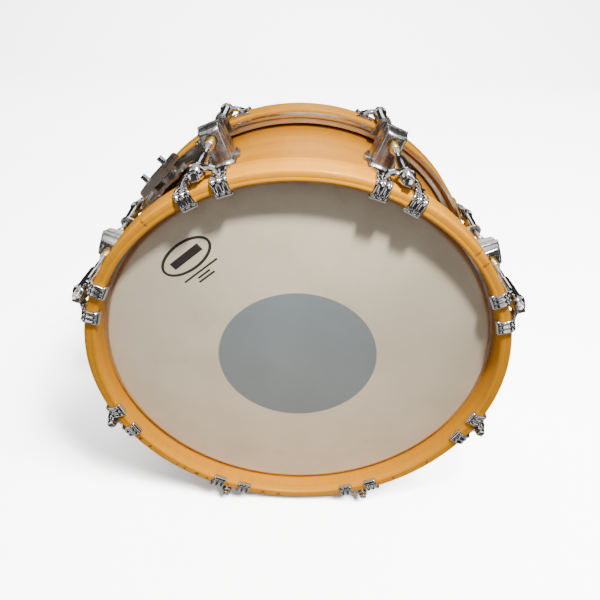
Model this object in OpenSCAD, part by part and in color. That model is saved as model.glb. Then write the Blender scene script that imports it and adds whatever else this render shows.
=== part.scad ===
// Tom tom drum, 14 in x 6 in, lying on its side. Millimetres.
// Drum axis along Y, batter (dotted) side towards -Y, Z up, origin on the axis at mid depth.
// Hardware modules are drawn in a local frame: X radial, Y axial, Z tangential.

/* [Shell] */
// Outside diameter of the wood shell
shell_od = 352; // [351:0.5:353]
// Wall thickness of the shell
shell_t = 7; // [6:0.5:8]
// Shell depth between the two bearing edges
shell_depth = 153; // [150:1:156]
// Radius of the vent hole through the shell
vent_r = 6.5; // [6:0.25:7]

/* [Hoops] */
// Outside diameter of the wood hoops
hoop_od = 382; // [381:0.5:383]
// Radial thickness of the wood hoops
hoop_t = 10.2; // [9.8:0.1:10.6]
// Axial width of the wood hoops
hoop_w = 26; // [25:0.5:27]
// Distance from the head surface to the outer edge of its hoop
recess = 17.6; // [16.6:0.2:18.6]
// Edge rounding of the hoops
edge_r = 3; // [2:0.5:3.5]

/* [Heads] */
// Film thickness
film_t = 0.3; // [0.25:0.05:0.4]
// Diameter of the reinforcing dot
dot_d = 148.6; // [140:0.2:156]

/* [Lugs and tension] */
// Radius of the tension rod circle
rod_r = 199; // [198.6:0.1:199.4]
// Radius of a tension rod shank
rod_s = 2.75; // [2.7:0.05:2.75]
// Radius of the bores that the rods turn in
bore_s = 2.8; // [2.8:0.01:2.84]
// Width of a lug body
lug_w = 19; // [18:0.5:20]
// Length of a lug body along the drum axis
lug_l = 32; // [31:0.5:34]
// Outer end of a lug above the drum axis
lug_top = 210; // [209:0.5:211]
// Angle between a rod and each hook of its claw
hook_a = 4.45; // [4.2:0.05:4.7]
// Width of a claw hook, in degrees round the drum
hook_w = 3.75; // [3.4:0.05:4]
// Radius of the claw hub
hub_r = 7; // [6.6:0.1:7]

/* [Suspension mount] */
// Inner radius of the steel suspension ring
ring_ri = 186.6; // [186.4:0.1:186.8]
// Thickness of the suspension ring
ring_t = 2.4; // [2:0.1:2.4]
// Axial width of the suspension ring
ring_w = 12.6; // [11:0.2:12.8]
// Half the distance between the two mounting studs
stud_z = 13; // [12.5:0.25:13.5]
// Radius of a mounting stud
stud_r = 3; // [2.9:0.05:3]

/* [Hidden] */
sr = shell_od / 2;
hr = hoop_od / 2;
yb = shell_depth / 2;
yf = yb + film_t + recess;
ysh = yb - 4;
fr = sr - 1.6;
gask = 0.6;
lug_a = [for (i = [0:7]) 22.5 + 45 * i];
ear_a = [22.5, 67.5, 112.5, 157.5, 202.5, 247.5];
mount_a = 135;
yr1 = yf - hoop_w - 0.8;
yr0 = yr1 - ring_w;
ye = yf - 48.6;
ynose = yf - 3;
// gap between a claw's hooks and the hoop, and size of the corner that clears the rounded edge
gap = 0.3;
corner = 1.4;
// width in degrees of a strap of the suspension ring
ear_w = 5.2;
// radius of an ear round its rod, and of the grommet's sleeve and flanges in it
ear_r = 6.4;
sleeve_r = 4.25;
flange_r = 5.4;
// radius of a stud's shank inside the mounting block, and the block's outer face
shank_r = 2.6;
block_r = 197;

maple = [0.86, 0.62, 0.3];
chrome = [0.8, 0.81, 0.83];
steel = [0.6, 0.59, 0.57];
brass = [0.82, 0.65, 0.3];
film = [0.85, 0.83, 0.78];
rubber = [0.1, 0.1, 0.1];

// turn a part in the local frame to angle a round the drum
module at(a) rotate([0, -a, 0]) children();
// revolve a profile (x = radius, y = along the drum) all the way round
module ring() rotate([-90, 0, 0]) rotate_extrude($fn = 180) children();
// revolve a profile through w degrees, centred on the local X axis
module arc(w) rotate([-90, 0, 0]) rotate([0, 0, -w / 2]) rotate_extrude(angle = w, $fn = 180) children();
// a cylinder along +Y from y0 to y1, on the rod axis
module along(r, y0, y1, rr = rod_r) translate([rr, y0, 0]) rotate([-90, 0, 0])
  cylinder(r = r, h = y1 - y0, $fn = 40);
// a cylinder along the radial direction from x0 to x1
module radial(r, x0, x1, y = 0, z = 0) translate([x0, y, z]) rotate([0, 90, 0])
  cylinder(r = r, h = x1 - x0, $fn = 40);
module block(x0, x1, y0, y1, z0, z1) translate([x0, y0, z0]) cube([x1 - x0, y1 - y0, z1 - z0]);
module tube(r0, r1, y0, y1) ring() translate([r0, y0]) square([r1 - r0, y1 - y0]);

// ---- shell
module shell() color(maple) difference() {
  ring() polygon([[sr - shell_t, -yb + 5], [fr - 0.8, -yb], [fr, -yb], [sr, -yb + 2], [sr, yb - 2],
    [fr, yb], [fr - 0.8, yb], [sr - shell_t, yb - 5]]);
  radial(vent_r + 0.05, sr - 20, sr + 20);
  for (a = lug_a) at(a) for (y = [-11, 11]) radial(2.2, sr - 20, sr + 20, y);
}
module vent_grommet() color(brass) difference() {
  union() {
    radial(vent_r, sr - shell_t - 0.2, sr + 1.4);
    intersection() {
      radial(10.5, sr - 4, sr + 1.6);
      difference() { tube(100, sr + 2, -12, 12); tube(100, sr, -13, 13); }
    }
    difference() {
      radial(9, sr - shell_t - 2, sr - shell_t + 2);
      tube(sr - shell_t, sr + 20, -13, 13);
    }
  }
  radial(5, sr - 20, sr + 20);
}

// ---- hoops: rounded outer edge, rabbet over the head ring
module hoop_profile() difference() {
  union() {
    translate([hr - hoop_t, -yf + edge_r]) square([hoop_t, hoop_w - edge_r - 1]);
    translate([hr - hoop_t + edge_r, -yf]) square([hoop_t - 2 * edge_r, hoop_w]);
    translate([hr - hoop_t + edge_r, -yf + edge_r]) circle(r = edge_r, $fn = 40);
    translate([hr - edge_r, -yf + edge_r]) circle(r = edge_r, $fn = 40);
    polygon([[hr - hoop_t, -yf + hoop_w - 2], [hr, -yf + hoop_w - 2], [hr, -yf + hoop_w - 1],
      [hr - 1, -yf + hoop_w], [hr - hoop_t, -yf + hoop_w]]);
  }
  translate([hr - 40, -ysh]) square([40 - 7, 30]);
}
module front_hoop() color(maple) ring() hoop_profile();
module rear_hoop() color(maple) mirror([0, 1, 0]) ring() hoop_profile();

// ---- heads: film with its collar, and the aluminium ring that grips it
module head_profile() polygon([[0, -yb - film_t], [fr + 0.5, -yb - film_t], [sr + 2.8, -ysh - 0.3],
  [sr + 2.8, -yb + 8], [sr + 2.5, -yb + 8], [sr + 2.5, -ysh - 0.2], [fr + 0.4, -yb], [0, -yb]]);
module head_ring_profile() difference() {
  translate([sr + 1.6, -ysh]) square([5.6, 6.5]);
  translate([sr + 2.5, -ysh - 1]) square([0.3, 5]);
}
module front_head() color(film) ring() head_profile();
module rear_head() color(film) mirror([0, 1, 0]) ring() head_profile();
module front_head_ring() color(chrome) ring() head_ring_profile();
module rear_head_ring() color(chrome) mirror([0, 1, 0]) ring() head_ring_profile();
module front_dot() color(steel) translate([0, -yb, 0]) rotate([-90, 0, 0])
  cylinder(d = dot_d, h = 0.25, $fn = 180);

// ---- lugs
module lug() color(chrome) difference() {
  union() {
    // flange that follows the shell, with a foot at each side
    intersection() {
      union() {
        block(sr - 4, sr + 6, -lug_l / 2 - 2.5, lug_l / 2 + 2.5, -lug_w / 2 - 2.2, lug_w / 2 + 2.2);
        block(sr - 6, sr + 4, -5, 5, -lug_w / 2 - 5, lug_w / 2 + 5);
      }
      tube(sr - 10, sr + 5, -40, 40);
    }
    // body with a domed outer end
    intersection() {
      block(sr, lug_top + 5, -lug_l / 2, lug_l / 2, -lug_w / 2, lug_w / 2);
      translate([lug_top - 34, 0, 0]) cylinder(r = 34, h = 60, center = true, $fn = 120);
    }
    // raised band across the middle
    intersection() {
      block(sr, lug_top + 5, -2.6, 2.6, -lug_w / 2 - 0.8, lug_w / 2 + 0.8);
      translate([lug_top - 34, 0, 0]) cylinder(r = 34.7, h = 60, center = true, $fn = 120);
    }
  }
  tube(sr - 20, sr + gask, -60, 60);
  // grooves each side of the band
  for (y = [-4.4, 3.4]) difference() {
    block(sr + 6, lug_top + 6, y, y + 1, -20, 20);
    intersection() {
      block(sr + 5, lug_top, y - 1, y + 2, -lug_w / 2 + 0.8, lug_w / 2 - 0.8);
      translate([lug_top - 34, 0, 0]) cylinder(r = 33.2, h = 60, center = true, $fn = 120);
    }
  }
  // seats for the two swivel nuts, and the room behind them
  along(4.05, -30, 30);
  along(5.4, -10, 10);
  for (s = [-1, 1]) along(5.6, s * 16 - 3, s * 16 + 3);
  for (y = [-11, 11]) radial(2.0, sr - 20, sr + 10, y);
}
module swivel_nut() difference() {
  union() {
    along(4, -27.5, -9.9);
    along(5.2, -9.9, -8.2);
  }
  along(bore_s, -30, 0);
}
module swivel_nuts_front() color(brass) for (a = lug_a) at(a) swivel_nut();
module swivel_nuts_rear() color(brass) for (a = lug_a) at(a) mirror([0, 1, 0]) swivel_nut();
module lug_screws() color(steel) for (a = lug_a) at(a) for (y = [-11, 11]) {
  radial(1.9, sr - shell_t - 2, sr + 9, y);
  difference() {
    radial(3.6, sr - shell_t - 4.2, sr - shell_t - 1.4, y);
    radial(1.6, sr - shell_t - 5, sr - shell_t - 2.8, y);
  }
}
module lug_washers() color(steel) for (a = lug_a) at(a) for (y = [-11, 11]) difference() {
  radial(4.6, sr - shell_t - 1.35, sr - shell_t - 0.15, y);
  radial(2.1, sr - shell_t - 5, sr, y);
}
module lug_gaskets() color(rubber) for (a = lug_a) at(a) difference() {
  intersection() {
    block(sr - 4, sr + 6, -lug_l / 2 - 2.5, lug_l / 2 + 2.5, -lug_w / 2 - 2.2, lug_w / 2 + 2.2);
    tube(sr, sr + gask, -40, 40);
  }
  for (y = [-11, 11]) radial(2.2, sr - 20, sr + 20, y);
}

// ---- claws: barrel and hub on the rod, two ribbed hooks over the hoop
module hook() {
  // outer leg, front leg and inner lip of one hook, clear of the hoop by gap
  lip = hr - hoop_t - gap;
  arc(hook_w) polygon([[hr + gap, -yf + 14], [hr + gap, -yf + corner], [hr - corner, -yf - gap],
    [lip + gap + corner, -yf - gap], [lip, -yf + corner], [lip, -yf + 9], [lip - 1, -yf + 10],
    [lip - 2.2, -yf + 9], [lip - 2.4, -yf + 1], [lip - 0.4, -yf - 2], [lip + 2.2, -yf - 2.8],
    [hr - 1, -yf - 2.8], [hr + 2, -yf - 1.4], [hr + 3, -yf + 2], [hr + 3, -yf + 14]]);
  // raised ribs
  for (k = [-1, 0, 1]) rotate([0, k * 1.25, 0]) arc(0.75)
    polygon([[hr + 2.5, -yf + 12], [hr + 2.5, -yf + 2], [hr + 1.6, -yf - 1.2], [hr - 1, -yf - 2.5],
      [hr - 1, -yf - 3.4], [hr + 2.4, -yf - 2], [hr + 3.8, -yf + 1.6], [hr + 3.8, -yf + 11]]);
  // narrow waist and the flared tail on the outside of the hoop
  arc(2.9) translate([hr + 0.3, -yf + 12]) square([2.6, 8]);
  arc(4.6) translate([hr + 0.3, -yf + 18.5]) square([2.3, 5]);
}
module claw() color(chrome) difference() {
  union() {
    translate([rod_r, -yf + 44.4, 0]) rotate([90, 0, 0]) cylinder(r1 = 4.5, r2 = 5.8, h = 32.6, $fn = 48);
    translate([rod_r, -yf + 9.9, 0]) sphere(r = hub_r, $fn = 60);
    along(5.4, -ynose, -yf + 10);
    for (s = [-1, 1]) rotate([0, s * hook_a, 0]) hook();
    // arms from the hub down to the two hooks
    arc(2 * hook_a) polygon([[hr + 1, -yf + 16.5], [hr + 1, -yf + 8], [hr + 4, -yf + 7],
      [hr + 5.6, -yf + 9], [hr + 5.6, -yf + 14], [hr + 4, -yf + 16.5]]);
    arc(4.4) translate([hr + 2, -yf + 6.5]) square([5.6, 10]);
  }
  along(bore_s, -yf - 10, -yf + 60);
}
module rod() color(chrome) {
  along(rod_s, -ynose - 1, -14);
  along(4.9, -ynose - 1.5, -ynose - 0.05);
  block(rod_r - 3.15, rod_r + 3.15, -yf - 2.7, -ynose - 1.4, -3.15, 3.15);
}
module rear() mirror([0, 1, 0]) children();
module lug_1() at(lug_a[0]) lug();
module lug_2() at(lug_a[1]) lug();
module lug_3() at(lug_a[2]) lug();
module lug_4() at(lug_a[3]) lug();
module lug_5() at(lug_a[4]) lug();
module lug_6() at(lug_a[5]) lug();
module lug_7() at(lug_a[6]) lug();
module lug_8() at(lug_a[7]) lug();

// ---- suspension ring: a band with six straps, each bent out into an ear round a rear rod
module suspension_ring() color(steel) difference() {
  union() {
    difference() {
      at(mount_a) arc(225 + ear_w) translate([ring_ri, ye + 0.5]) square([ring_t, yr1 - ye - 0.5]);
      for (a = [45 : 45 : 225]) at(a) arc(45 - ear_w)
        translate([ring_ri - 2, ye - 1]) square([ring_t + 4, yr0 - ye + 1]);
    }
    for (a = ear_a) at(a) difference() {
      union() {
        block(ring_ri - 2, rod_r, ye, ye + 2.4, -ear_r, ear_r);
        along(ear_r, ye, ye + 2.4);
      }
      tube(100, ring_ri + 1, 0, 90);
    }
  }
  for (a = ear_a) at(a) along(sleeve_r + 0.05, 0, 90);
  for (a = [-12, 12]) at(mount_a + a) radial(2.05, ring_ri - 5, ring_ri + 5, yr0 + ring_w / 2);
}
module ear_grommets() color(rubber) for (a = ear_a) at(a) difference() {
  union() {
    along(sleeve_r, ye - 1.2, ye + 3.6);
    along(flange_r, ye - 1.2, ye - 0.05);
    along(flange_r, ye + 2.45, ye + 3.6);
  }
  along(3.15, 0, 90);
}
module mount_base() color(steel) at(mount_a) difference() {
  arc(33) translate([ring_ri - 2.4, -8]) square([2.35, yr1 + 8]);
  // an arch cut into the front edge at each end, and a long slot under the block
  for (s = [-1, 1]) {
    rotate([0, s * 11.4, 0]) { radial(8.5, 150, 220, 4); block(150, 220, -20, 4, -8.5, 8.5); }
    rotate([0, s * 14.4, 0]) radial(3.4, 150, 220, 30);
    rotate([0, s * 12, 0]) radial(2.05, 150, 220, yr0 + ring_w / 2);
    radial(shank_r + 0.05, 150, 220, 29, s * stud_z);
  }
  block(150, 220, 20, 38, -4, 4);
}
module mount_block() color(steel) at(mount_a) difference() {
  union() {
    block(190, block_r, 8, 50, -19, 19);
    for (s = [-1, 1]) block(184, 191, 11, 47, s * 7.5 - 2, s * 7.5 + 2);
  }
  tube(100, ring_ri, -20, 90);
  for (s = [-1, 1]) {
    radial(shank_r + 0.05, 150, 220, 29, s * stud_z);
    // chamfered ends
    translate([block_r, 0, s * 19]) rotate([0, 45, 0]) cube([3, 120, 3], center = true);
  }
}
module mount_studs() color(chrome) at(mount_a) for (s = [-1, 1]) {
  radial(stud_r, block_r, 204.5, 29, s * stud_z);
  radial(shank_r, 182, block_r + 1, 29, s * stud_z);
  radial(5.5, 180.6, 183.15, 29, s * stud_z);
}
module mount_rivets() color(chrome) at(mount_a) for (s = [-1, 1]) rotate([0, s * 12, 0]) {
  radial(2, ring_ri - 3, ring_ri + ring_t + 0.6, yr0 + ring_w / 2);
  radial(3.3, ring_ri + ring_t + 0.05, ring_ri + ring_t + 1.3, yr0 + ring_w / 2);
  radial(3.3, ring_ri - 3.9, ring_ri - 2.5, yr0 + ring_w / 2);
}

module claw_f(i) at(lug_a[i - 1]) claw();
module claw_r(i) at(lug_a[i - 1]) rear() claw();
module rod_f(i) at(lug_a[i - 1]) rod();
module rod_r_(i) at(lug_a[i - 1]) rear() rod();

shell();
vent_grommet();
front_hoop();
rear_hoop();
front_head();
front_dot();
front_head_ring();
rear_head();
rear_head_ring();
lug_1();
lug_2();
lug_3();
lug_4();
lug_5();
lug_6();
lug_7();
lug_8();
for (i = [1:8]) claw_f(i);
for (i = [1:8]) claw_r(i);
for (i = [1:8]) rod_f(i);
for (i = [1:8]) rod_r_(i);
swivel_nuts_front();
swivel_nuts_rear();
lug_screws();
lug_washers();
lug_gaskets();
suspension_ring();
mount_base();
mount_block();
mount_studs();
mount_rivets();
ear_grommets();
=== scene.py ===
"""Tom tom drum lying on its side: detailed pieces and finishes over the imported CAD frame.

Everything is in metres in the CAD's frame: the drum axis is Y, the dotted head faces -Y, Z is up.
Hardware is drawn once in a local frame (X radial, Y along the drum, Z round the drum) in millimetres,
and each copy is turned to its own angle round the drum.
"""
import math
import random

import bmesh
import bpy
from mathutils import Matrix, Vector, noise


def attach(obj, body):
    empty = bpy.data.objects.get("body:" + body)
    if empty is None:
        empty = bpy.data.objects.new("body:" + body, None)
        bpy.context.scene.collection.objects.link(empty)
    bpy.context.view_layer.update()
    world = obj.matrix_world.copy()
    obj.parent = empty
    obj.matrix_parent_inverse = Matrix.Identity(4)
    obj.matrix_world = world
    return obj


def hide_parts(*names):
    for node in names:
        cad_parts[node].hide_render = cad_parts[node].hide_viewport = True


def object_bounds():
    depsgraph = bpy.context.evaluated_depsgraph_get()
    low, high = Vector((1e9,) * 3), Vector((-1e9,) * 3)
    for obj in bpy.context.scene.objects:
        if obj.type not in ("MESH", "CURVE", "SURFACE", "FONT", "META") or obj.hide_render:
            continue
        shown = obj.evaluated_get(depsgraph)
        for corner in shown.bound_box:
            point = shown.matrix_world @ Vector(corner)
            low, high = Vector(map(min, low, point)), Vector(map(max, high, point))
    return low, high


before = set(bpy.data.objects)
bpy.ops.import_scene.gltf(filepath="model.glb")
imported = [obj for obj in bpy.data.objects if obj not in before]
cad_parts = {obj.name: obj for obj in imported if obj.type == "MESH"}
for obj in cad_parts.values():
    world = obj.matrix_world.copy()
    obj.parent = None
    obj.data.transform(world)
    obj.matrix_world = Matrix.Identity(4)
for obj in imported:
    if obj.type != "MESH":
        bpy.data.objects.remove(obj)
cad_bounds = [list(corner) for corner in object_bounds()]
rng = random.Random(14)

# ---------------------------------------------------------------- sizes, in millimetres
MM = 0.001
HOOP_R = 191.0          # outside of the hoops
HOOP_T = 10.2           # radial wall of the hoops
HOOP_W = 26.0           # width of the hoops along the drum
EDGE_R = 2.6            # rounding of each hoop's front edge
FRONT = 94.4            # outer edge of each hoop, from mid depth
SHOULDER = 72.5         # where the hoop presses on the head's ring
SHELL_R = 176.0
SHELL_T = 7.0           # wall of the shell
RABBET_R = 184.0        # inside of the step in each hoop that takes the head's ring
VENT_R = 6.55
HEAD = 76.8             # outer face of each film
FILM_T = 0.3
ROD_R = 199.0           # circle of the tension rods
ROD_S = 2.75            # radius of a rod
LUG_TOP = 210.0         # crest of a lug, from the drum axis
LUG_DOME = 34.0         # radius of a lug's domed back
LUG_HALF = 9.5          # half width of a lug body
HOOK_DEG = 4.45         # each hook's angle from its rod
DOT_R = 74.3
PRINT_T = 0.05          # how far the printed mark stands off the film
MARK_AT = (-0.0935, 0, 0.1078)  # middle of the printed mark, in metres
MARK_TURN = 40.0        # how far the mark is turned on the head, in degrees
LUG_DEG = [22.5 + 45 * i for i in range(8)]


# ---------------------------------------------------------------- mesh building
def polar(r, y, deg):
    """A point at radius r and angle deg round the drum axis, deg 0 along X."""
    a = math.radians(deg)
    return Vector((r * math.cos(a), y, r * math.sin(a)))


def bridge(bm, rows, closed, cap_last=True):
    """Joins rows of vertices, each a closed loop, with quads; caps the ends unless closed."""
    n, count = len(rows[0]), len(rows)
    for i in range(count if closed else count - 1):
        a, b = rows[i], rows[(i + 1) % count]
        for j in range(n):
            k = (j + 1) % n
            bm.faces.new((a[j], b[j], b[k], a[k]))
    if not closed:
        bm.faces.new(rows[0])
        if cap_last:
            bm.faces.new(rows[-1][::-1])


def add_arc(bm, outline, sweep=360.0, centre=0.0, step=1.5):
    """Turns a closed outline of (radius, y) points through sweep degrees about the drum axis."""
    closed = sweep >= 360
    steps = max(3, round(sweep / step))
    rows = []
    for i in range(steps if closed else steps + 1):
        deg = centre - sweep / 2 + sweep * i / steps
        rows.append([bm.verts.new(polar(r, y, deg)) for r, y in outline])
    bridge(bm, rows, closed)


def add_turned(bm, outline, steps=40, x=ROD_R, z=0.0):
    """Turns (radius, y) points, one end to the other, about a line parallel to the drum axis."""
    rows = []
    for r, y in outline:
        rows.append([bm.verts.new((x + r * math.cos(t), y, z + r * math.sin(t)))
                     for t in (2 * math.pi * j / steps for j in range(steps))])
    bridge(bm, rows, False)


def add_stud(bm, outline, y, z, steps=40):
    """Turns (radius, x) points about a radial line at (y, z)."""
    rows = []
    for r, x in outline:
        rows.append([bm.verts.new((x, y + r * math.cos(t), z + r * math.sin(t)))
                     for t in (2 * math.pi * j / steps for j in range(steps))])
    bridge(bm, rows, False)


def add_prism(bm, outline, z0, z1, bevel, plane="xy"):
    """Extrudes an outline between z0 and z1 and rounds its sharp edges."""
    def place(p, t):
        return (p[0], p[1], t) if plane == "xy" else (p[0], t, p[1])
    low = [bm.verts.new(place(p, z0)) for p in outline]
    high = [bm.verts.new(place(p, z1)) for p in outline]
    n = len(outline)
    faces = [bm.faces.new(low), bm.faces.new(high[::-1])]
    faces += [bm.faces.new((low[i], high[i], high[(i + 1) % n], low[(i + 1) % n])) for i in range(n)]
    bmesh.ops.recalc_face_normals(bm, faces=faces)
    sharp = {e for f in faces for e in f.edges if e.calc_face_angle(0) > math.radians(28)}
    bmesh.ops.bevel(bm, geom=list(sharp), offset=bevel, segments=3, profile=0.5,
                    affect="EDGES", clamp_overlap=True)


def add_wrap(bm, outline, r0, r1):
    """A plate that follows the drum: outline of (degrees, y) points, from radius r0 out to r1."""
    low = [bm.verts.new(polar(r0, y, d)) for d, y in outline]
    high = [bm.verts.new(polar(r1, y, d)) for d, y in outline]
    bridge(bm, [low, high], False)


def add_bar(bm, path, side, radii, steps=16):
    """A round bar along path; radii gives each point's (across, along side) pair, side square to path."""
    rows = []
    for i, p in enumerate(path):
        ahead = (path[min(i + 1, len(path) - 1)] - path[max(i - 1, 0)]).normalized()
        over = ahead.cross(side).normalized()
        a, b = radii[i]
        rows.append([bm.verts.new(p + over * a * math.cos(t) + side * b * math.sin(t))
                     for t in (2 * math.pi * j / steps for j in range(steps))])
    bridge(bm, rows, False)


def blunt(count, radius):
    """Radii for a bar of constant size whose two ends are eased off."""
    return [(radius * k, radius * k) for k in [0.6] + [1.0] * (count - 2) + [0.6]]


def circle_points(cx, cy, r, start, end, steps):
    """Points along an arc, angles in degrees."""
    return [(cx + r * math.cos(math.radians(start + (end - start) * i / steps)),
             cy + r * math.sin(math.radians(start + (end - start) * i / steps)))
            for i in range(steps + 1)]


def mesh_from(bm, name, smooth=40.0):
    """Scales the bmesh from millimetres and returns a mesh, shaded smooth below this edge angle."""
    bmesh.ops.recalc_face_normals(bm, faces=bm.faces)
    bmesh.ops.scale(bm, vec=(MM, MM, MM), verts=bm.verts)
    for e in bm.edges:
        e.smooth = e.calc_face_angle(0) < math.radians(smooth)
    for f in bm.faces:
        f.smooth = True
    mesh = bpy.data.meshes.new(name)
    bm.to_mesh(mesh)
    bm.free()
    return mesh


def flipped(mesh, name):
    """The mirror image of a mesh across the drum's mid plane, for the rear side."""
    other = mesh.copy()
    other.name = name
    other.transform(Matrix.Scale(-1, 4, (0, 1, 0)))
    other.flip_normals()
    return other


def piece(name, mesh, material, body="drum", deg=0.0, nodes=()):
    """Adds an object on a body, turned to deg round the drum, standing for some CAD nodes."""
    obj = bpy.data.objects.new(name, mesh)
    bpy.context.scene.collection.objects.link(obj)
    obj.matrix_world = Matrix.Rotation(-math.radians(deg), 4, "Y")
    if not mesh.materials:
        mesh.materials.append(material)
    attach(obj, body)
    if nodes:
        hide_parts(*nodes)
    return obj


def applied(mesh, name, make_modifiers):
    """The mesh after the modifiers that make_modifiers adds to a temporary object."""
    temp = bpy.data.objects.new("temporary", mesh)
    bpy.context.scene.collection.objects.link(temp)
    make_modifiers(temp)
    bpy.context.view_layer.update()
    done = bpy.data.meshes.new_from_object(temp.evaluated_get(bpy.context.evaluated_depsgraph_get()))
    done.name = name
    bpy.data.objects.remove(temp)
    for p in done.polygons:
        p.use_smooth = True
    return done


def combine(mesh, name, other, operation="DIFFERENCE"):
    """The mesh with another closed mesh cut out of it or joined to it."""
    tool = bpy.data.objects.new("tool", other)
    bpy.context.scene.collection.objects.link(tool)

    def modifiers(obj):
        m = obj.modifiers.new("combine", "BOOLEAN")
        m.operation, m.object, m.solver = operation, tool, "EXACT"
        # a mesh that is cut may be made of solids that cross one another
        m.use_self = operation == "DIFFERENCE"
    done = applied(mesh, name, modifiers)
    bpy.data.objects.remove(tool)
    return done


# ---------------------------------------------------------------- materials
class Nodes:
    """A small helper that builds a node tree over one kind of texture coordinate."""

    def __init__(self, tree, coordinate):
        self.tree = tree
        self.coords = self.node("ShaderNodeTexCoord").outputs[coordinate]

    def node(self, kind, inputs=None, **settings):
        made = self.tree.nodes.new(kind)
        for key, value in settings.items():
            setattr(made, key, value)
        for key, value in (inputs or {}).items():
            self.put(made.inputs[key], value)
        return made

    def put(self, socket, value):
        if isinstance(value, bpy.types.NodeSocket):
            self.tree.links.new(value, socket)
        else:
            socket.default_value = value

    def math(self, operation, a, b=0.0, c=0.0):
        made = self.node("ShaderNodeMath", {0: a, 1: b, 2: c}, operation=operation)
        return made.outputs[0]

    def stretched(self, *factors):
        """The coordinates times a factor along each axis, which draws a pattern out where it is small."""
        made = self.node("ShaderNodeVectorMath", {0: self.coords, 1: factors}, operation="MULTIPLY")
        return made.outputs[0]

    def noise(self, vector, scale, detail=3.0, rough=0.5, w=None):
        made = self.node("ShaderNodeTexNoise", {"Vector": vector, "Scale": scale, "Detail": detail,
                                                "Roughness": rough},
                         noise_dimensions="3D" if w is None else "4D")
        if w is not None:
            self.put(made.inputs["W"], w)
        return made.outputs["Fac"]

    def ramp(self, fac, stops):
        made = self.node("ShaderNodeValToRGB", {"Fac": fac})
        ramp = made.color_ramp
        while len(ramp.elements) < len(stops):
            ramp.elements.new(0.5)
        for element, (at, colour) in zip(ramp.elements, stops):
            element.position = at
            element.color = (*colour, 1) if isinstance(colour, tuple) else (colour, colour, colour, 1)
        return made.outputs["Color"]

    def mix(self, fac, a, b, kind="MIX"):
        made = self.node("ShaderNodeMix", data_type="RGBA", blend_type=kind)
        self.put(made.inputs["Factor"], fac)
        for socket, value in ((made.inputs[6], a), (made.inputs[7], b)):
            self.put(socket, (*value, 1) if isinstance(value, tuple) else value)
        return made.outputs[2]

    def span(self, value, low, high, to_low=0.0, to_high=1.0):
        made = self.node("ShaderNodeMapRange", {"Value": value, "From Min": low, "From Max": high,
                                                "To Min": to_low, "To Max": to_high})
        return made.outputs["Result"]

    def bump(self, height, distance, strength=1.0, normal=None):
        made = self.node("ShaderNodeBump", {"Height": height, "Distance": distance,
                                            "Strength": strength})
        if normal is not None:
            self.put(made.inputs["Normal"], normal)
        return made.outputs["Normal"]


class Shader(Nodes):
    """One material: its node tree, with the coordinates that follow the drum."""

    def __init__(self, name):
        self.material = bpy.data.materials.new(name)
        self.material.use_nodes = True
        super().__init__(self.material.node_tree, "Object")
        self.bsdf = self.tree.nodes["Principled BSDF"]

    def surface(self, **inputs):
        for key, value in inputs.items():
            if isinstance(value, tuple) and len(value) == 3:
                value = (*value, 1)
            self.put(self.bsdf.inputs[key.replace("_", " ")], value)
        return self.material

    def round_drum(self):
        """Cosine and sine of the angle round the drum, distance along it, and radius."""
        x, y, z = self.node("ShaderNodeSeparateXYZ", {0: self.coords}).outputs
        r = self.math("SQRT", self.math("ADD", self.math("MULTIPLY", x, x),
                                        self.math("MULTIPLY", z, z)))
        return self.math("DIVIDE", x, r), self.math("DIVIDE", z, r), y, r

    def grain(self, along, across, detail=3.0, shift=0.0):
        """Noise drawn out round the drum: feature sizes along and across the grain in metres."""
        c, s, y, r = self.drum
        k = SHELL_R * MM / along
        vector = self.node("ShaderNodeCombineXYZ", {0: self.math("MULTIPLY", c, k),
                                                    1: self.math("MULTIPLY", s, k),
                                                    2: self.math("MULTIPLY_ADD", y, 1 / across, shift)})
        return self.noise(vector.outputs[0], 1.0, detail, w=self.math("MULTIPLY", r, 1 / across))


def maple(name, dark, mid, light, gloss, wear=False):
    """Clear-lacquered maple whose grain runs round the drum."""
    s = Shader(name)
    s.drum = s.round_drum()
    bands = s.grain(0.28, 0.0075, 3)
    streaks = s.grain(0.07, 0.0011, 4, 3.0)
    pores = s.grain(0.011, 0.00032, 2, 7.0)
    curl = s.grain(0.0055, 0.03, 1, 11.0)
    cloud = s.noise(s.coords, 9.0, 3)
    tone = s.math("ADD", s.math("MULTIPLY", bands, 0.55), s.math("MULTIPLY", streaks, 0.45))
    colour = s.ramp(tone, [(0.30, dark), (0.50, mid), (0.68, light)])
    colour = s.mix(s.span(pores, 0.60, 0.74, 0.0, 0.38), colour, dark, "MULTIPLY")
    colour = s.mix(s.span(curl, 0.40, 0.62, 0.0, 0.22), colour, light)
    colour = s.mix(s.span(cloud, 0.35, 0.70, 0.0, 0.30), colour, mid)
    rough = s.span(streaks, 0.3, 0.7, gloss, gloss + 0.14)
    if wear:
        mark = s.node("ShaderNodeAttribute", attribute_name="wear").outputs["Fac"]
        grit = s.math("MULTIPLY", mark, s.span(s.noise(s.coords, 900.0, 2), 0.35, 0.6))
        colour = s.mix(grit, colour, (0.045, 0.022, 0.010))
        rough = s.math("ADD", rough, s.math("MULTIPLY", mark, 0.35))
    height = s.math("ADD", streaks, s.math("MULTIPLY", pores, 0.5))
    smears = s.bump(s.noise(s.coords, 60.0, 4), 0.00025, 0.12)
    return s.surface(Base_Color=colour, Roughness=rough, Specular_IOR_Level=0.16, Coat_Weight=0.06,
                     Coat_Roughness=0.10, Coat_IOR=1.5, Normal=s.bump(height, 0.00006, 0.5, smears))


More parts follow.
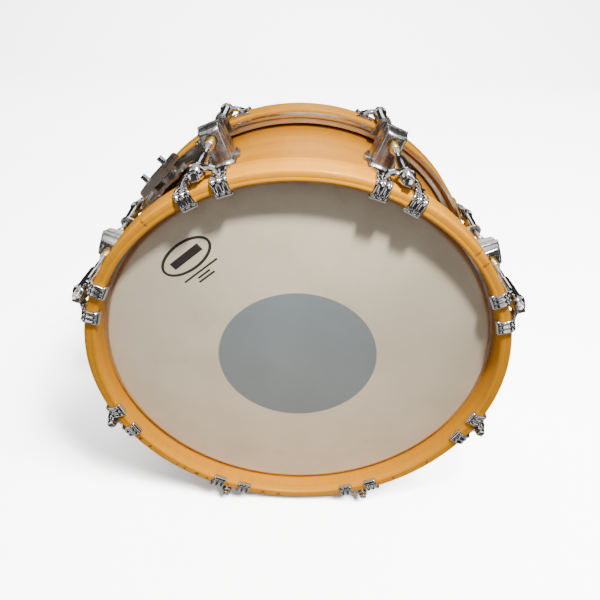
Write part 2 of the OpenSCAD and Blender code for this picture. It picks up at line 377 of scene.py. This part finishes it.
def metal(name, colour, rough, spread, tint=None, brushed=False, dirt=0.0, streaks=False):
    """Plated or bare metal with faint smears, fine scratches and dull patches.

    brushed runs its scratches round the drum; streaks adds polishing marks that run radially, and darkens the
    colour along them as painted reflections of dark streaks."""
    s = Shader(name)
    smears = s.noise(s.coords, 130.0, 4)
    specks = s.noise(s.coords, 2600.0, 2)
    if brushed:
        s.drum = s.round_drum()
        lines = s.grain(0.03, 0.00025, 2)
    else:
        lines = s.noise(s.stretched(1.0, 0.04, 1.0), 5200.0, 2)
    roughness = s.math("ADD", s.span(smears, 0.35, 0.7, rough, rough + spread),
                       s.span(lines, 0.5, 0.8, 0.0, spread * 0.6))
    shade = s.mix(s.span(smears, 0.3, 0.75, 0.0, 0.6), colour, tint or colour)
    if dirt:
        shade = s.mix(s.span(specks, 0.62, 0.74, 0.0, dirt), shade, (0.09, 0.07, 0.05))
    height = s.math("ADD", lines, s.math("MULTIPLY", specks, 0.4))
    normal = s.bump(smears, 0.0002, 0.05)
    if streaks:
        polish_and_painted_reflection = s.noise(s.stretched(0.02, 0.05, 1.0), 700.0, 3)
        normal = s.bump(polish_and_painted_reflection, 0.0005, 0.6, normal)
        # darker colour along the streaks: painted reflections of dark streaks, laid over a real bump of
        # polishing marks
        shade = s.mix(s.span(polish_and_painted_reflection, 0.35, 0.65), shade, tuple(0.55 * c for c in colour))
    return s.surface(Base_Color=shade, Metallic=1.0, Roughness=roughness,
                     Normal=s.bump(height, 0.000012, 0.2, normal))


def coated_film(name, base, worn, dot=None):
    """Drum film: a sprayed coating, smudges and specks, and the dot showing through."""
    s = Shader(name)
    s.drum = s.round_drum()
    grain = s.noise(s.coords, 3400.0, 2)
    mottle = s.noise(s.coords, 16.0, 5, 0.6)
    smudge = s.noise(s.coords, 55.0, 6, 0.65)
    specks = s.noise(s.coords, 620.0, 3, 0.6)
    colour = s.mix(s.span(mottle, 0.35, 0.70), base, worn)
    colour = s.mix(s.span(smudge, 0.55, 0.78, 0.0, 0.30), colour, tuple(0.72 * c for c in worn))
    colour = s.mix(s.span(s.noise(s.coords, 8.0, 2, 0.4), 0.45, 0.62, 0.0, 0.35), colour,
                   tuple(0.80 * c for c in worn))
    if dot:
        edge = s.math("ADD", s.drum[3], s.math("MULTIPLY", s.math("SUBTRACT", specks, 0.5), 0.0006))
        inside = s.span(edge, DOT_R * MM + 0.0005, DOT_R * MM - 0.0005)
        shade = s.mix(s.span(mottle, 0.35, 0.65), dot, tuple(0.90 * c for c in dot))
        colour = s.mix(inside, colour, shade)
    colour = s.mix(s.span(specks, 0.70, 0.78, 0.0, 0.45), colour, (0.16, 0.12, 0.08))
    height = s.math("ADD", grain, s.math("MULTIPLY", mottle, 0.6))
    return s.surface(Base_Color=colour, Roughness=s.span(grain, 0.3, 0.7, 0.48, 0.62),
                     Normal=s.bump(height, 0.00005, 0.5, s.bump(mottle, 0.0012, 0.12)))


def plain(name, colour, rough, scale, distance):
    """Rubber, ink or the dot's film: one colour with grain and an uneven gloss."""
    s = Shader(name)
    grain = s.noise(s.coords, scale, 4)
    shade = s.mix(s.span(grain, 0.35, 0.7), colour, tuple(min(1.0, c * 1.5 + 0.01) for c in colour))
    return s.surface(Base_Color=shade, Roughness=s.span(grain, 0.3, 0.7, rough, rough + 0.15),
                     Normal=s.bump(grain, distance, 0.6))


SHELL_WOOD = maple("shell_maple", (0.42, 0.148, 0.003), (0.51, 0.194, 0.004), (0.60, 0.255, 0.010), 0.36)
HOOP_WOOD = maple("hoop_maple", (0.50, 0.186, 0.003), (0.63, 0.262, 0.005), (0.75, 0.340, 0.014), 0.36,
                  wear=True)
CHROME = metal("chrome", (0.60, 0.60, 0.61), 0.05, 0.05, (0.50, 0.49, 0.48), dirt=0.15)
# the lug chrome has painted dark reflection streaks in its colour along its polishing marks
LUG_CHROME = metal("lug_chrome", (0.60, 0.60, 0.61), 0.22, 0.08, (0.46, 0.45, 0.44), dirt=0.25,
                   streaks=True)
ROD_CHROME = metal("rod_chrome", (0.78, 0.78, 0.79), 0.08, 0.08, (0.70, 0.69, 0.67))
STEEL = metal("bracket_steel", (0.60, 0.57, 0.54), 0.17, 0.10, (0.42, 0.39, 0.36), brushed=True,
              dirt=0.2)
DARK_STEEL = metal("block_steel", (0.30, 0.29, 0.28), 0.26, 0.12, (0.24, 0.23, 0.22))
BRASS = metal("brass", (0.92, 0.70, 0.32), 0.28, 0.12, (0.80, 0.56, 0.22), dirt=0.2)
ALUMINIUM = metal("aluminium", (0.75, 0.75, 0.76), 0.30, 0.12, brushed=True)
ZINC = metal("zinc_steel", (0.60, 0.60, 0.60), 0.28, 0.12, (0.50, 0.50, 0.48))
RUBBER = plain("gasket_rubber", (0.018, 0.018, 0.018), 0.55, 900.0, 0.00004)
FRONT_FILM = coated_film("coated_film", (0.66, 0.595, 0.475), (0.60, 0.53, 0.41), (0.200, 0.236, 0.262))
REAR_FILM = coated_film("clear_film", (0.62, 0.61, 0.57), (0.55, 0.53, 0.48))
DOT_FILM = plain("dot_film", (0.24, 0.26, 0.26), 0.45, 300.0, 0.00003)
INK = plain("ink", (0.014, 0.011, 0.009), 0.5, 1500.0, 0.00001)


# ---------------------------------------------------------------- hoops
def hoop_mesh(name, nicks):
    """A wooden hoop with rounded edges and a rabbet; nicks are (degrees, length, depth) dents."""
    inner, outer, r = HOOP_R - HOOP_T, HOOP_R, EDGE_R
    outline = circle_points(inner + r, -FRONT + r, r, 180, 270, 6)
    # a fine line where two plies meet on the front edge
    outline += [(inner + r + 1.4, -FRONT), (inner + r + 1.7, -FRONT + 0.12), (inner + r + 2.0, -FRONT)]
    outline += circle_points(outer - r, -FRONT + r, r, 270, 360, 6)
    # points part-way along the flat walls keep the dents and the soft shading near the edges
    outline += [(outer, -FRONT + 9), (outer, -FRONT + 17)]
    outline += circle_points(outer - 1, -FRONT + HOOP_W - 1, 1, 0, 90, 3)
    outline += [(RABBET_R, -FRONT + HOOP_W), (RABBET_R, -SHOULDER), (inner, -SHOULDER),
                (inner, -FRONT + 14), (inner, -FRONT + 8)]
    bm = bmesh.new()
    add_arc(bm, outline, step=0.5)
    wear = bm.verts.layers.float.new("wear")
    reach = 4.5
    for v in bm.verts:
        radius = math.hypot(v.co.x, v.co.z)
        deg = math.degrees(math.atan2(v.co.z, v.co.x)) % 360
        at_edge = max(0.0, 1 - abs(v.co.y + FRONT) / reach)
        for middle, length, depth in nicks:
            away = math.radians(deg - middle) * HOOP_R / length
            near = max(0.0, 1 - away * away) * at_edge * (radius > inner + 4)
            v[wear] = max(v[wear], near * 1.3)
            v.co.y += near * depth
            v.co.x -= v.co.x / radius * near * depth * 0.8
            v.co.z -= v.co.z / radius * near * depth * 0.8
    return mesh_from(bm, name)


def hoop_nicks(spots, scattered):
    """Dents at chosen angles, with some smaller ones scattered between them."""
    return spots + [(rng.uniform(0, 360), rng.uniform(0.7, 1.6), rng.uniform(0.08, 0.25))
                    for _ in range(scattered)]


front_marks = [(197.5, 3.0, 0.5), (201.0, 1.6, 0.3), (208.0, 4.2, 0.6), (211.5, 2.2, 0.35),
               (216.0, 1.5, 0.3), (230.5, 1.8, 0.4), (235.0, 3.2, 0.5), (241.0, 1.4, 0.3),
               (259.0, 2.2, 0.4), (264.5, 1.5, 0.3), (305.0, 1.6, 0.3), (318.0, 1.3, 0.25)]
piece("front_hoop_wood", hoop_mesh("front_hoop_wood", hoop_nicks(front_marks, 8)), HOOP_WOOD,
      nodes=["front_hoop"])
piece("rear_hoop_wood", flipped(hoop_mesh("rear_hoop_base", hoop_nicks([], 20)), "rear_hoop_wood"),
      HOOP_WOOD, nodes=["rear_hoop"])


# ---------------------------------------------------------------- shell, heads and the mark
def bearing(side):
    """Half the shell's edge profile, from inside to outside, on one side (+1 or -1)."""
    pts = [(SHELL_R - SHELL_T, 71.5), (SHELL_R - 2.4, 76.35), (SHELL_R - 2.0, 76.5), (SHELL_R - 1.6, 76.45),
           (SHELL_R - 0.5, 75.6), (SHELL_R, 74.4)]
    return [(r, side * y) for r, y in pts]


def shell_mesh():
    """The shell's wall, turned in three bands so that the vent hole touches only the middle one."""
    band = 30
    outline = bearing(-1) + [(SHELL_R, -band), (SHELL_R, band)] + bearing(1)[::-1]
    outline += [(SHELL_R - SHELL_T, band), (SHELL_R - SHELL_T, -band)]
    wall = bmesh.new()
    add_arc(wall, outline, step=0.5)
    cutter = bmesh.new()
    add_stud(cutter, [(VENT_R, SHELL_R - 20), (VENT_R, SHELL_R + 20)], 0, 0)
    return combine(mesh_from(wall, "shell_plain"), "shell_wood", mesh_from(cutter, "vent_cutter"))


piece("shell_wood", shell_mesh(), SHELL_WOOD, nodes=["shell"])


def film_mesh(name, waves):
    """The film: a flat disc that rolls over the bearing edge and drops into its ring."""
    flat, rings, steps = SHELL_R - 1.4, 90, 240
    profile = [(flat * i / rings, -HEAD) for i in range(rings + 1)]
    profile += [(flat + 0.5, -HEAD + 0.25), (flat + 1.1, -HEAD + 1.0), (SHELL_R + 2.2, -SHOULDER + 0.4),
                (SHELL_R + 2.6, -71.4), (SHELL_R + 2.6, -69)]
    bm = bmesh.new()
    rows = []
    for r, y in profile:
        row = []
        for j in range(steps):
            deg = 360 * j / steps
            p = polar(max(r, 0.02), y, deg)
            if r < flat - 4:
                p.y += waves * noise.noise(Vector((p.x * 0.016, 3.1, p.z * 0.016)))
            row.append(bm.verts.new(p))
        rows.append(row)
    bridge(bm, rows, False, cap_last=False)
    return mesh_from(bm, name)


def film_thickness(obj):
    m = obj.modifiers.new("thickness", "SOLIDIFY")
    m.thickness, m.offset = FILM_T * MM, -1


film = piece("front_head_film", film_mesh("front_head_film", 0.12), FRONT_FILM, nodes=["front_head"])
film_thickness(film)
rear_film = piece("rear_head_film", flipped(film_mesh("rear_head_base", 0.12), "rear_head_film"),
                  REAR_FILM, nodes=["rear_head"])
film_thickness(rear_film)


def ring_mesh(name):
    """The folded aluminium channel round the film's edge."""
    r0, r1, y0, y1 = SHELL_R + 1.6, SHELL_R + 7.2, -SHOULDER, -SHOULDER + 6.5
    outline = circle_points(r0 + 1.0, y0 + 1.0, 1.0, 180, 270, 4)
    outline += circle_points(r1 - 1.0, y0 + 1.0, 1.0, 270, 360, 4)
    outline += circle_points(r1 - 1.6, y1 - 1.6, 1.6, 0, 90, 5) + [(r0 + 0.8, y1), (r0, y1 - 0.8)]
    bm = bmesh.new()
    add_arc(bm, outline, step=1.0)
    return mesh_from(bm, name)


front_ring = ring_mesh("front_ring_metal")
piece("front_ring_metal", front_ring, ALUMINIUM, nodes=["front_head_ring"])
piece("rear_ring_metal", flipped(front_ring, "rear_ring_metal"), ALUMINIUM, nodes=["rear_head_ring"])



def add_strip(bm, points, width, closed=False):
    """A flat printed line of constant width through (x, z) points, just in front of the film."""
    rows = []
    n = len(points)
    for i, p in enumerate(points):
        ahead = points[(i + 1) % n] if closed or i < n - 1 else p
        behind = points[(i - 1) % n] if closed or i > 0 else p
        along = Vector((ahead[0] - behind[0], 0, ahead[1] - behind[1])).normalized()
        side = Vector((-along.z, 0, along.x)) * width / 2
        middle = Vector((p[0], -HEAD - PRINT_T, p[1]))
        rows.append((bm.verts.new(middle + side), bm.verts.new(middle - side)))
    for i in range(n if closed else n - 1):
        (a, b), (c, d) = rows[i], rows[(i + 1) % n]
        bm.faces.new((a, b, d, c))


def mark_mesh(name):
    """A plain maker's-mark stand-in: an open oval, a bar and three short rules. No lettering."""
    half_w, half_h, steps = 25.0, 12.0, 96
    oval = [(half_w * math.cos(t), half_h * math.sin(t))
            for t in (2 * math.pi * i / steps for i in range(steps))]
    bm = bmesh.new()
    add_strip(bm, oval, 2.4, True)
    add_strip(bm, [(-16, 0), (16, 0)], 7.0)
    for drop, half in ((17.0, 19), (21.0, 7), (24.5, 9)):
        add_strip(bm, [(-half, -drop), (half, -drop)], 1.7)
    return mesh_from(bm, name)


mark = piece("head_mark", mark_mesh("head_mark"), INK)
mark.matrix_world = Matrix.Translation(MARK_AT) @ Matrix.Rotation(math.radians(-MARK_TURN), 4, "Y")


# ---------------------------------------------------------------- lugs and swivel nuts
def add_block(bm, side, crest, dome):
    """One half of a lug: domed top, round shoulder, and an end face that bulges and leans back."""
    shoulder, end, bulge, lean, foot = 3.6, 14.4, 2.0, 4.6, SHELL_R + 3
    # slices across the lug, as (place, how far the outline draws in at the rounded side)
    rim = [(9.5, 1.1), (9.3, 0.5), (8.7, 0.15), (8.0, 0)]
    slices = [(-z, inset) for z, inset in rim] + [(2.7 * k, 0) for k in range(-2, 3)] + rim[::-1]
    rows = []
    for z, inset in slices:
        face = end - bulge * (z / LUG_HALF) ** 2 - inset
        turn = face - shoulder
        start = 4.3 + inset
        line = [(crest + math.sqrt(dome ** 2 - y * y) - inset, y)
                for y in (start + (turn - start) * k / 6 for k in range(6))]
        high = crest + math.sqrt(dome ** 2 - turn ** 2) - inset
        line += circle_points(high - shoulder, turn, shoulder, 0, 90, 8)
        line += [(foot, face + lean), (foot, start)]
        rows.append([bm.verts.new((r, side * y, z)) for r, y in line])
    bridge(bm, rows, False)


def add_flange(bm):
    """The lug's foot: a plate on the shell with crescent ends, rounded off towards its top."""
    half_deg, length, curve, steps = 3.6, 21.6, 4.0, 8
    rows = []
    for high, inset in ((0.6, 0.0), (1.8, 0.1), (3.6, 1.2), (4.7, 2.2), (5.0, 3.0)):
        tips = [(half_deg * k / steps, length - curve * (k / steps) ** 2 - inset)
                for k in range(-steps, steps + 1)]
        edge = [(d, -y) for d, y in tips] + [(d, y) for d, y in reversed(tips)]
        rows.append([bm.verts.new(polar(SHELL_R + high, y, d * (1 - inset / 12))) for d, y in edge])
    bridge(bm, rows, False)


def arch(radius, half):
    """Points along the top of a lug's dome, between -half and half along the drum."""
    return [(LUG_TOP - LUG_DOME + math.sqrt(radius ** 2 - y * y), y)
            for y in (half * (k / 5 - 1) for k in range(11))]


def lug_mesh():
    """One double-ended lug: flange and feet on the shell, two domed blocks and a raised band."""
    bm = bmesh.new()
    add_flange(bm)
    for side in (-1, 1):
        foot = [(SHELL_R + 0.6, -5), (SHELL_R + 3.2, -5), (SHELL_R + 4.0, -4.2), (SHELL_R + 4.0, 4.2),
                (SHELL_R + 3.2, 5), (SHELL_R + 0.6, 5)]
        add_arc(bm, foot, sweep=2.4, centre=side * 3.55, step=0.6)
    for side in (-1, 1):
        add_block(bm, side, LUG_TOP - LUG_DOME, LUG_DOME)
    core = [(SHELL_R + 3, -5.5)] + arch(LUG_DOME - 1.3, 5.5) + [(SHELL_R + 3, 5.5)]
    add_prism(bm, core, -LUG_HALF + 1.1, LUG_HALF - 1.1, bevel=0.3)
    band = [(SHELL_R + 2, -2.6)] + arch(LUG_DOME + 0.7, 2.6) + [(SHELL_R + 2, 2.6)]
    add_prism(bm, band, -LUG_HALF - 0.8, LUG_HALF + 0.8, bevel=0.8)
    return mesh_from(bm, "lug_whole", 30)


def bore_mesh():
    """What is cut out of a lug: at each end, a seat for the swivel nut with a wider mouth."""
    seat_r, mouth_r, depth, turn, open_end = 4.25, 5.6, 8.0, 11.0, 22.0
    bm = bmesh.new()
    for side in (-1, 1):
        add_turned(bm, [(mouth_r, side * open_end), (mouth_r, side * turn),
                        (seat_r, side * (turn - 0.1)), (seat_r, side * depth)])
    return mesh_from(bm, "lug_cutter", 30)


def nut_mesh():
    """A brass swivel nut: turned barrel with a rim and grooves, and the bore the rod screws into."""
    profile = [(2.85, -27.5), (3.4, -27.5), (3.9, -27.1), (4.15, -26.5), (4.15, -25.1), (3.75, -24.7),
               (3.75, -24.2), (4.0, -23.9), (4.0, -16.0), (3.8, -15.7), (3.8, -15.3), (4.0, -15.0),
               (4.0, -9.9), (5.2, -9.7), (5.2, -8.2), (2.85, -8.2)]
    bm = bmesh.new()
    rows = [[bm.verts.new((ROD_R + r * math.cos(t), y, r * math.sin(t)))
             for t in (2 * math.pi * j / 40 for j in range(40))] for r, y in profile]
    bridge(bm, rows, True)
    return mesh_from(bm, "swivel_nut", 35)


lug_done = combine(lug_mesh(), "lug_casting", bore_mesh())
lug_done.set_sharp_from_angle(angle=math.radians(30))
nut = nut_mesh()
nut_rear = flipped(nut, "swivel_nut_rear")
for i, deg in enumerate(LUG_DEG, 1):
    piece(f"lug_casting_{i}", lug_done, LUG_CHROME, deg=deg, nodes=[f"lug_{i}"])
    piece(f"nut_front_{i}", nut, BRASS, deg=deg, nodes=["swivel_nuts_front"])
    piece(f"nut_rear_{i}", nut_rear, BRASS, deg=deg, nodes=["swivel_nuts_rear"])


# ---------------------------------------------------------------- claws
def claw_mesh():
    """The cast part of a claw: two arms that meet on the rod, and two ribbed hooks over the hoop."""
    inner, y0 = HOOP_R - HOOP_T, -FRONT
    rib_r, rib_out, rib_deg = 1.5, 1.75, 1.5
    lip_r, lip_half, lip_points = 2.3, 2.35, 13
    bm = bmesh.new()
    for side in (-1, 1):
        c = side * HOOK_DEG
        # arm: leaves the hub sideways, broadens, and runs down into the back of the hook
        path = [polar(ROD_R - 0.5, y0 + 10.4, side * 0.3), polar(ROD_R - 0.3, y0 + 11.4, side * 1.5),
                polar(ROD_R - 1.2, y0 + 11.8, side * 2.6), polar(ROD_R - 3.0, y0 + 11.0, side * 3.6),
                polar(ROD_R - 5.2, y0 + 9.2, side * 4.3)]
        add_bar(bm, path, Vector((0, 1, 0)),
                [(3.0, 5.0), (2.6, 4.6), (2.5, 4.6), (2.4, 5.0), (2.0, 5.6)], 24)
        # flared tail and narrow waist, lying on the outside of the hoop
        tail = [(c - 2.6, y0 + 23.8), (c - 2.1, y0 + 20.4), (c - 1.35, y0 + 16.5), (c - 1.35, y0 + 13),
                (c - 1.8, y0 + 9.0), (c + 1.8, y0 + 9.0), (c + 1.35, y0 + 13), (c + 1.35, y0 + 16.5),
                (c + 2.1, y0 + 20.4), (c + 2.6, y0 + 23.8), (c + 1.2, y0 + 21.8), (c - 1.2, y0 + 21.8)]
        add_wrap(bm, tail, HOOP_R + 0.25, HOOP_R + 2.7)
        # the hook's web, and three round ribs that follow it over the hoop's edge
        add_arc(bm, hook_line(0.3, 2.0, y0 + 11.0), sweep=3.6, centre=c, step=0.5)
        for rib in (-rib_deg, 0.0, rib_deg):
            line = rib_line(rib_out, y0 + 12.0)
            path = [polar(r, y, c + rib * (1 + 0.12 * k / len(line))) for k, (r, y) in enumerate(line)]
            a = math.radians(c + rib)
            add_bar(bm, path, Vector((-math.sin(a), 0, math.cos(a))), blunt(len(path), rib_r))
        # the lip: a rounded bead across the hook, on the hoop's inner corner
        lip = [polar(inner - 1.0, y0 + 0.2, c + lip_half * (2 * k / (lip_points - 1) - 1))
               for k in range(lip_points)]
        add_bar(bm, lip, Vector((0, 1, 0)), blunt(lip_points, lip_r))
    return mesh_from(bm, "claw_parts")


def hub_mesh():
    """The claw's turned core: barrel, ball and the seat under the rod's collar."""
    middle, ball = -FRONT + 9.9, 6.9
    outline = [(3.0, -50.0), (3.8, -50.1), (4.3, -50.7), (4.5, -51.8), (4.7, -56), (5.1, -66), (5.5, -79)]
    outline += [(ball * math.cos(t), middle - ball * math.sin(t))
                for t in (math.radians(-36 + 84 * k / 16) for k in range(17))]
    outline += [(5.3, -90.0), (5.3, -90.9), (4.8, -91.4), (3.0, -91.4)]
    bm = bmesh.new()
    add_turned(bm, outline, 64)
    return mesh_from(bm, "hub_parts", 30)


def rib_line(out, start):
    """Points from the outside of the hoop, round its front edge and down its inside, out clear of it."""
    inner, y0, bend = HOOP_R - HOOP_T, -FRONT, EDGE_R
    line = [(HOOP_R + out, start), (HOOP_R + out, y0 + 6)]
    line += [(HOOP_R - bend + (bend + out) * math.cos(t), y0 + bend - (bend + out) * math.sin(t))
             for t in (math.pi / 2 * k / 6 for k in range(7))]
    line += [(inner + bend - (bend + out) * math.sin(t), y0 + bend - (bend + out) * math.cos(t))
             for t in (math.pi / 2 * k / 6 for k in range(7))]
    return line + [(inner - out, y0 + 3.4)]


def hook_line(low, high, start):
    """A closed outline that wraps the hoop's front edge between two offsets."""
    return rib_line(low, start) + rib_line(high, start)[::-1]


def cast(obj):
    """Melts overlapping solids into one casting with soft inner corners."""
    m = obj.modifiers.new("melt", "REMESH")
    m.mode, m.voxel_size, m.use_smooth_shade = "VOXEL", 0.42 * MM, True
    m = obj.modifiers.new("soften", "SMOOTH")
    m.factor, m.iterations = 0.5, 6
    m = obj.modifiers.new("thin", "DECIMATE")
    m.ratio = 0.5


def rod_mesh():
    """A tension rod: cut thread, shank, round collar and square key head."""
    tip, thread_end, pitch, depth, steps = -14.0, -40.0, 1.058, 0.36, 24
    length = tip - thread_end
    rings = round(length / (pitch / 4))
    circle = [2 * math.pi * j / steps for j in range(steps)]
    bm = bmesh.new()
    rows = []
    for k in range(rings + 1):
        y = tip - length * k / rings
        fade = min(1.0, (rings - k) / 6, k / 4 + 0.3)
        chamfer = 0.5 if k == 0 else 0
        row = []
        for j, t in enumerate(circle):
            phase = (y / pitch + j / steps) % 1.0
            r = ROD_S - depth * abs(2 * phase - 1) * fade - chamfer
            row.append(bm.verts.new((ROD_R + r * math.cos(t), y, r * math.sin(t))))
        rows.append(row)
    for r, y in [(ROD_S, thread_end - 0.5), (ROD_S, -91.0), (ROD_S, -91.45), (4.6, -91.46), (4.95, -91.8),
                 (4.95, -92.5), (4.5, -92.9), (3.0, -93.0), (3.0, -93.4)]:
        rows.append([bm.verts.new((ROD_R + r * math.cos(t), y, r * math.sin(t))) for t in circle])
    bridge(bm, rows, False)
    half = 3.15
    square = [(ROD_R - half, -half), (ROD_R + half, -half), (ROD_R + half, half), (ROD_R - half, half)]
    add_prism(bm, square, -97.1, -92.8, bevel=0.6, plane="xz")
    return mesh_from(bm, "rod", 35)


claw = combine(applied(claw_mesh(), "claw_arms", cast), "claw_casting_mesh", hub_mesh(), "UNION")
claw.set_sharp_from_angle(angle=math.radians(38))
claw_rear = flipped(claw, "claw_casting_mesh_rear")
rod = rod_mesh()
rod_rear = flipped(rod, "rod_rear")
for i, deg in enumerate(LUG_DEG, 1):
    for end, claw_shape, rod_shape in (("f", claw, rod), ("r", claw_rear, rod_rear)):
        piece(f"claw_casting_{end}{i}", claw_shape, CHROME, f"claw_{end}{i}", deg, [f"claw_{end}{i}"])
        piece(f"rod_steel_{end}{i}", rod_shape, ROD_CHROME, f"rod_{end}{i}", deg, [f"rod_{end}{i}"])


# ---------------------------------------------------------------- remaining CAD nodes keep their mesh
FINISHES = {"vent_grommet": BRASS, "front_dot": DOT_FILM, "lug_screws": ZINC, "lug_washers": ZINC,
            "lug_gaskets": RUBBER, "suspension_ring": STEEL, "mount_base": STEEL,
            "mount_block": DARK_STEEL, "mount_studs": CHROME, "mount_rivets": CHROME,
            "ear_grommets": DARK_STEEL}
for node_name, finish in FINISHES.items():
    for material_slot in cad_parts[node_name].material_slots:
        material_slot.material = finish

# ---------------------------------------------------------------- floor, light and camera
FLOOR = cad_bounds[0][2] - 0.0002


def floor_mesh(side=4000.0, near=-4000.0, far=2200.0, bend=1400.0):
    """A wide floor that curves up into a backdrop behind the drum."""
    line = [(near, 0.0), (far, 0.0)]
    line += [(far + bend * math.sin(t), bend * (1 - math.cos(t)))
             for t in (math.pi / 2 * k / 20 for k in range(1, 21))]
    line += [(far + bend, 3000.0)]
    bm = bmesh.new()
    rows = [[bm.verts.new((x, y, z + FLOOR / MM)) for y, z in line] for x in (-side, side)]
    for k in range(len(line) - 1):
        bm.faces.new((rows[0][k], rows[1][k], rows[1][k + 1], rows[0][k + 1]))
    return mesh_from(bm, "floor")


paper = Shader("studio_paper")
paper.surface(Base_Color=(0.90, 0.90, 0.90), Roughness=0.85, Specular_IOR_Level=0.1)
floor = bpy.data.objects.new("floor", floor_mesh())
floor.data.materials.append(paper.material)
bpy.context.scene.collection.objects.link(floor)


def lamp(name, where, towards, size, power, colour=(1, 1, 1), spread=180.0):
    data = bpy.data.lights.new(name, "AREA")
    data.shape, data.energy, data.color = "RECTANGLE", power, colour
    data.size, data.size_y = size
    data.spread = math.radians(spread)
    obj = bpy.data.objects.new(name, data)
    bpy.context.scene.collection.objects.link(obj)
    obj.location = where
    obj.rotation_euler = (Vector(towards) - Vector(where)).to_track_quat("-Z", "Y").to_euler()
    return obj


# the floor lamps light the floor alone, and its glare is kept off the drum, as flags would in a studio
floor.visible_diffuse = False
floor.visible_glossy = False
floor_only = bpy.data.collections.new("floor_only")
floor_only.objects.link(floor)

WARM = (1.0, 0.94, 0.84)
# a small lamp above and in front throws the hoop's crisp shadow on the head
lamp("key", (0.125, -0.314, 0.66), (-0.02, -0.06, 0.0), (0.06, 0.06), 2.15, WARM, 72)
# a weak warm lamp low in front stands in for the glow of the lower hoop
lamp("glow", (0.0, -0.80, -0.05), (0.0, -0.08, -0.15), (0.2, 0.1), 0.09, (1.0, 0.62, 0.30), 36)
for name, where, towards, size, power in (
        ("backdrop", (0.0, 2.0, 2.1), (0.0, 2.4, FLOOR), (5.0, 2.2), 480.0),
        ("overhead", (1.1, -0.8, 2.0), (0.0, -0.1, FLOOR), (0.8, 0.8), 560.0)):
    floor_lamp = lamp(name, where, towards, size, power)
    floor_lamp.light_linking.receiver_collection = floor_only

world = bpy.data.worlds.new("studio")
bpy.context.scene.world = world
world.use_nodes = True
sky = Nodes(world.node_tree, "Generated")
east, north, height = sky.node("ShaderNodeSeparateXYZ", {0: sky.coords}).outputs
# a dim room with a pale floor, a soft ceiling, a row of bright panes and, in front, a lower row
level = sky.ramp(sky.span(height, -1.0, 1.0),
                 [(0.0, 0.9), (0.08, 0.7), (0.13, 0.10), (0.42, 0.04), (0.80, 0.04), (0.92, 0.8), (1.0, 1.2)])
around = sky.math("ARCTAN2", east, north)


def pane_row(count, turn, duty, low, high):
    columns = sky.math("GREATER_THAN", sky.math("SINE", sky.math("MULTIPLY_ADD", around, count, turn)), duty)
    rows = sky.math("MULTIPLY", sky.math("GREATER_THAN", height, low), sky.math("LESS_THAN", height, high))
    return sky.math("MULTIPLY", columns, rows)


in_front = sky.math("LESS_THAN", north, -0.1)
panes = sky.math("MAXIMUM", pane_row(6.0, 1.2, 0.55, 0.30, 0.72),
                 sky.math("MULTIPLY", in_front, pane_row(7.0, 0.8, 0.66, -0.46, -0.16)))
level = sky.mix(panes, level, (2.9, 2.8, 2.65))
sky.put(sky.tree.nodes["Background"].inputs["Color"], level)
sky.tree.nodes["Background"].inputs["Strength"].default_value = 1.0

camera_data = bpy.data.cameras.new("camera")
camera_data.sensor_width, camera_data.lens = 36.0, 30.57
camera = bpy.data.objects.new("camera", camera_data)
bpy.context.scene.collection.objects.link(camera)
bpy.context.scene.camera = camera
# seen from in front and above, 35 degrees down, with the drum rolled 1.2 degrees about its own axis
PITCH, YAW, ROLL, DRUM_ROLL = 34.694, -0.925, -0.177, 1.22
looking = (Matrix.Rotation(math.radians(-YAW), 4, "Z") @ Matrix.Rotation(math.radians(90 - PITCH), 4, "X")
           @ Matrix.Rotation(math.radians(ROLL), 4, "Z"))
camera.matrix_world = (Matrix.Rotation(math.radians(-DRUM_ROLL), 4, "Y")
                       @ Matrix.Translation((0.00837, -0.4400, 0.3188)) @ looking)
